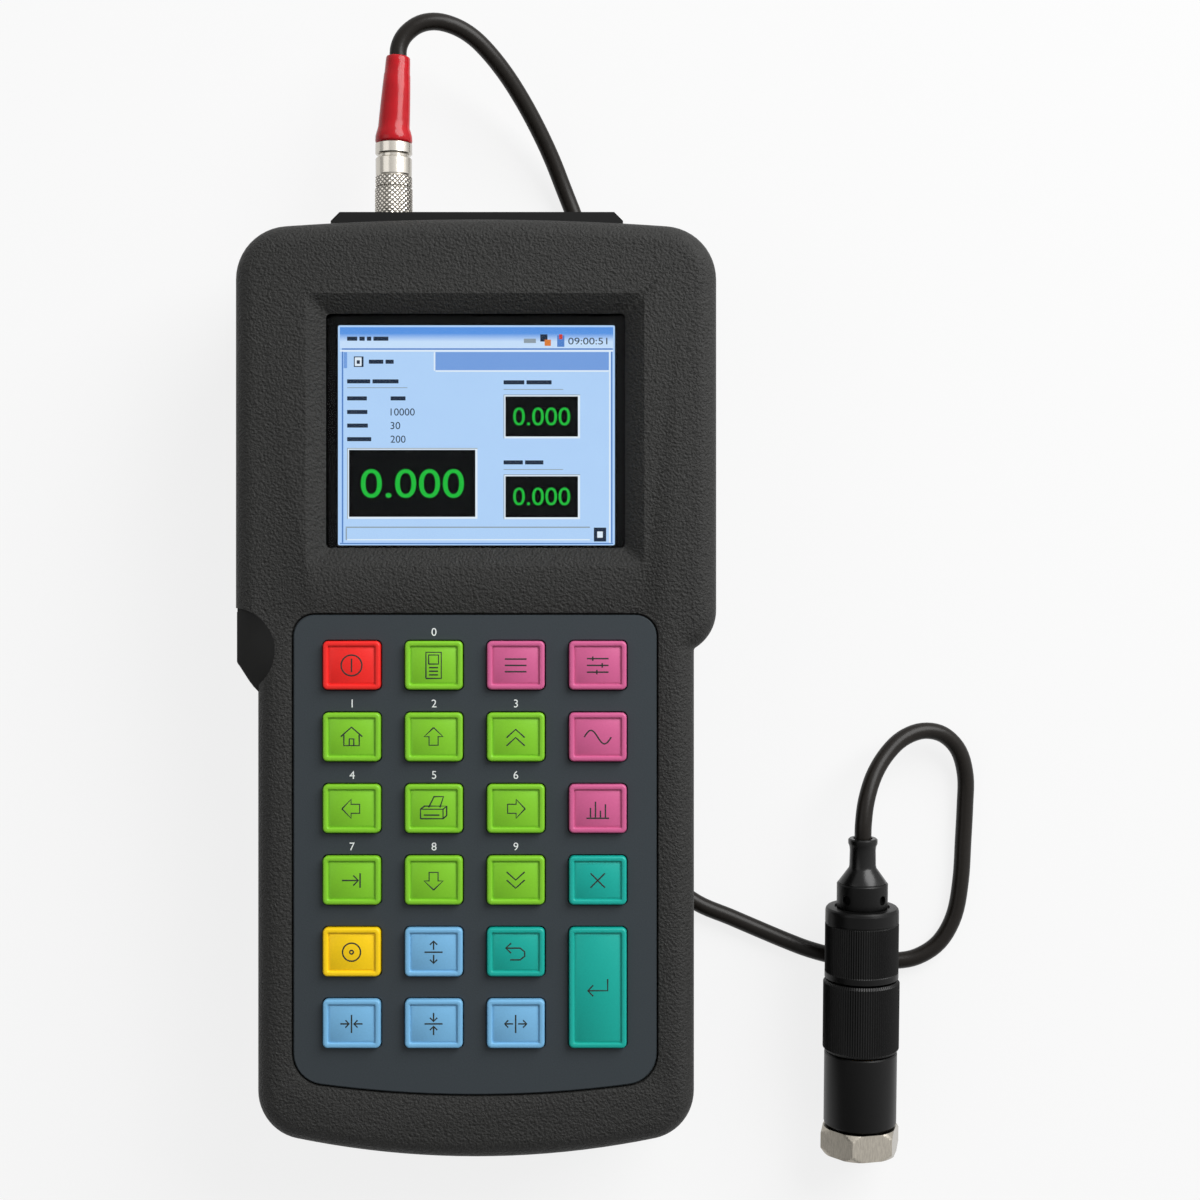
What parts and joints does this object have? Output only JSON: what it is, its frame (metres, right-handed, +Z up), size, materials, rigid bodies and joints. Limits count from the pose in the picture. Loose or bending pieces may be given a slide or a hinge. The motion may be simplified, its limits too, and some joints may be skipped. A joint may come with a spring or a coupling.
{
  "type": "handheld vibration meter",
  "caption": "Handheld vibration meter with a colour screen, a keypad of coloured keys and a magnetic sensor on a cable.",
  "frame": {"origin": "middle of the heel foot's rest face, under the lower end of the meter, on the surface that it lies on", "axes": "+X to the meter's right, +Y along the meter towards its connector end, +Z up out of its face"},
  "size_m": [0.172, 0.2682, 0.0433],
  "materials": {
    "case_black": "leather grain",
    "rubber_black": "matt",
    "window": "clear",
    "display": "lit display",
    "tray_black": "matt",
    "plate_grey": "fine texture",
    "mat_grey": "matt",
    "board_green": "solder mask",
    "panel_black": "smooth satin",
    "nickel": "satin plated",
    "port_steel": "satin",
    "cell_blue": "shrink film",
    "screw_steel": "plated",
    "gold_brass": "gold plated",
    "boot_red": "gloss",
    "cable_jacket": "satin",
    "satin_nickel": "satin nickel plated",
    "magnet_grey": "ground",
    "anodised_black": "black anodised",
    "gland_black": "satin",
    "key_red": "silicone rubber",
    "key_green": "silicone rubber",
    "key_pink": "silicone rubber",
    "key_teal": "silicone rubber",
    "key_yellow": "silicone rubber",
    "key_blue": "silicone rubber"
  },
  "bodies": {
    "meter": {"front_shell": "case_black", "rear_shell": "case_black", "shell_seal": "rubber_black", "screen_window": "window", "lcd_panel": "display", "lcd_tray": "tray_black", "keypad_plate": "plate_grey", "key_mat": "mat_grey", "keypad_board": "board_green", "main_board": "board_green", "buzzer": "tray_black", "connector_plate": "panel_black", "channel_1_socket": "nickel", "channel_2_socket": "nickel", "socket_nuts": "nickel", "data_port": "port_steel", "battery_pack": "cell_blue", "battery_cover": "case_black", "cover_screws": "screw_steel", "case_screws": "screw_steel", "board_screws": "screw_steel", "rubber_feet": "rubber_black", "plug_body": "nickel", "plug_insert": "gold_brass", "plug_nut": "nickel", "plug_boot": "boot_red", "sensor_cable": "cable_jacket", "base_stud": "screw_steel", "sensor_body": "anodised_black", "sensing_element": "gold_brass", "upper_housing": "anodised_black", "collar_nut": "anodised_black", "cable_gland": "gland_black"},
    "latch": {"latch_sleeve": "nickel"},
    "grip": {"grip_sleeve": "anodised_black"},
    "base": {"magnet_base": "satin_nickel", "magnet": "magnet_grey"},
    "key_power": {"key_power": "key_red"},
    "key_device": {"key_device": "key_green"},
    "key_menu": {"key_menu": "key_pink"},
    "key_setup": {"key_setup": "key_pink"},
    "key_home": {"key_home": "key_green"},
    "key_up": {"key_up": "key_green"},
    "key_page_up": {"key_page_up": "key_green"},
    "key_mode": {"key_mode": "key_pink"},
    "key_left": {"key_left": "key_green"},
    "key_print": {"key_print": "key_green"},
    "key_right": {"key_right": "key_green"},
    "key_data": {"key_data": "key_pink"},
    "key_end": {"key_end": "key_green"},
    "key_down": {"key_down": "key_green"},
    "key_page_down": {"key_page_down": "key_green"},
    "key_delete": {"key_delete": "key_teal"},
    "key_second": {"key_second": "key_yellow"},
    "key_height_up": {"key_height_up": "key_blue"},
    "key_back": {"key_back": "key_teal"},
    "key_enter": {"key_enter": "key_teal"},
    "key_width_down": {"key_width_down": "key_blue"},
    "key_height_down": {"key_height_down": "key_blue"},
    "key_width_up": {"key_width_up": "key_blue"}
  },
  "joints": [
    {"name": "key_power_press", "type": "slide", "parent": "meter", "child": "key_power", "axis": [0, 0, -1], "range_m": [0, 0.001], "stiffness_N_per_m": 600},
    {"name": "key_device_press", "type": "slide", "parent": "meter", "child": "key_device", "axis": [0, 0, -1], "range_m": [0, 0.001], "stiffness_N_per_m": 600},
    {"name": "key_menu_press", "type": "slide", "parent": "meter", "child": "key_menu", "axis": [0, 0, -1], "range_m": [0, 0.001], "stiffness_N_per_m": 600},
    {"name": "key_setup_press", "type": "slide", "parent": "meter", "child": "key_setup", "axis": [0, 0, -1], "range_m": [0, 0.001], "stiffness_N_per_m": 600},
    {"name": "key_home_press", "type": "slide", "parent": "meter", "child": "key_home", "axis": [0, 0, -1], "range_m": [0, 0.001], "stiffness_N_per_m": 600},
    {"name": "key_up_press", "type": "slide", "parent": "meter", "child": "key_up", "axis": [0, 0, -1], "range_m": [0, 0.001], "stiffness_N_per_m": 600},
    {"name": "key_page_up_press", "type": "slide", "parent": "meter", "child": "key_page_up", "axis": [0, 0, -1], "range_m": [0, 0.001], "stiffness_N_per_m": 600},
    {"name": "key_mode_press", "type": "slide", "parent": "meter", "child": "key_mode", "axis": [0, 0, -1], "range_m": [0, 0.001], "stiffness_N_per_m": 600},
    {"name": "key_left_press", "type": "slide", "parent": "meter", "child": "key_left", "axis": [0, 0, -1], "range_m": [0, 0.001], "stiffness_N_per_m": 600},
    {"name": "key_print_press", "type": "slide", "parent": "meter", "child": "key_print", "axis": [0, 0, -1], "range_m": [0, 0.001], "stiffness_N_per_m": 600},
    {"name": "key_right_press", "type": "slide", "parent": "meter", "child": "key_right", "axis": [0, 0, -1], "range_m": [0, 0.001], "stiffness_N_per_m": 600},
    {"name": "key_data_press", "type": "slide", "parent": "meter", "child": "key_data", "axis": [0, 0, -1], "range_m": [0, 0.001], "stiffness_N_per_m": 600},
    {"name": "key_end_press", "type": "slide", "parent": "meter", "child": "key_end", "axis": [0, 0, -1], "range_m": [0, 0.001], "stiffness_N_per_m": 600},
    {"name": "key_down_press", "type": "slide", "parent": "meter", "child": "key_down", "axis": [0, 0, -1], "range_m": [0, 0.001], "stiffness_N_per_m": 600},
    {"name": "key_page_down_press", "type": "slide", "parent": "meter", "child": "key_page_down", "axis": [0, 0, -1], "range_m": [0, 0.001], "stiffness_N_per_m": 600},
    {"name": "key_delete_press", "type": "slide", "parent": "meter", "child": "key_delete", "axis": [0, 0, -1], "range_m": [0, 0.001], "stiffness_N_per_m": 600},
    {"name": "key_second_press", "type": "slide", "parent": "meter", "child": "key_second", "axis": [0, 0, -1], "range_m": [0, 0.001], "stiffness_N_per_m": 600},
    {"name": "key_height_up_press", "type": "slide", "parent": "meter", "child": "key_height_up", "axis": [0, 0, -1], "range_m": [0, 0.001], "stiffness_N_per_m": 600},
    {"name": "key_back_press", "type": "slide", "parent": "meter", "child": "key_back", "axis": [0, 0, -1], "range_m": [0, 0.001], "stiffness_N_per_m": 600},
    {"name": "key_enter_press", "type": "slide", "parent": "meter", "child": "key_enter", "axis": [0, 0, -1], "range_m": [0, 0.001], "stiffness_N_per_m": 600},
    {"name": "key_width_down_press", "type": "slide", "parent": "meter", "child": "key_width_down", "axis": [0, 0, -1], "range_m": [0, 0.001], "stiffness_N_per_m": 600},
    {"name": "key_height_down_press", "type": "slide", "parent": "meter", "child": "key_height_down", "axis": [0, 0, -1], "range_m": [0, 0.001], "stiffness_N_per_m": 600},
    {"name": "key_width_up_press", "type": "slide", "parent": "meter", "child": "key_width_up", "axis": [0, 0, -1], "range_m": [0, 0.001], "stiffness_N_per_m": 600},
    {"name": "latch_pull", "type": "slide", "parent": "meter", "child": "latch", "axis": [0, 1, 0], "range_m": [0, 0.0005], "stiffness_N_per_m": 1500},
    {"name": "grip_turn", "type": "hinge", "parent": "meter", "child": "grip", "pos_m": [0.0897, -0.0184, 0.0094], "axis": [0, 0.9965, 0.0837], "range_deg": [0, 360]},
    {"name": "base_turn", "type": "hinge", "parent": "meter", "child": "base", "pos_m": [0.0897, -0.0184, 0.0094], "axis": [0, 0.9965, 0.0837], "range_deg": [0, 360]}
  ]
}
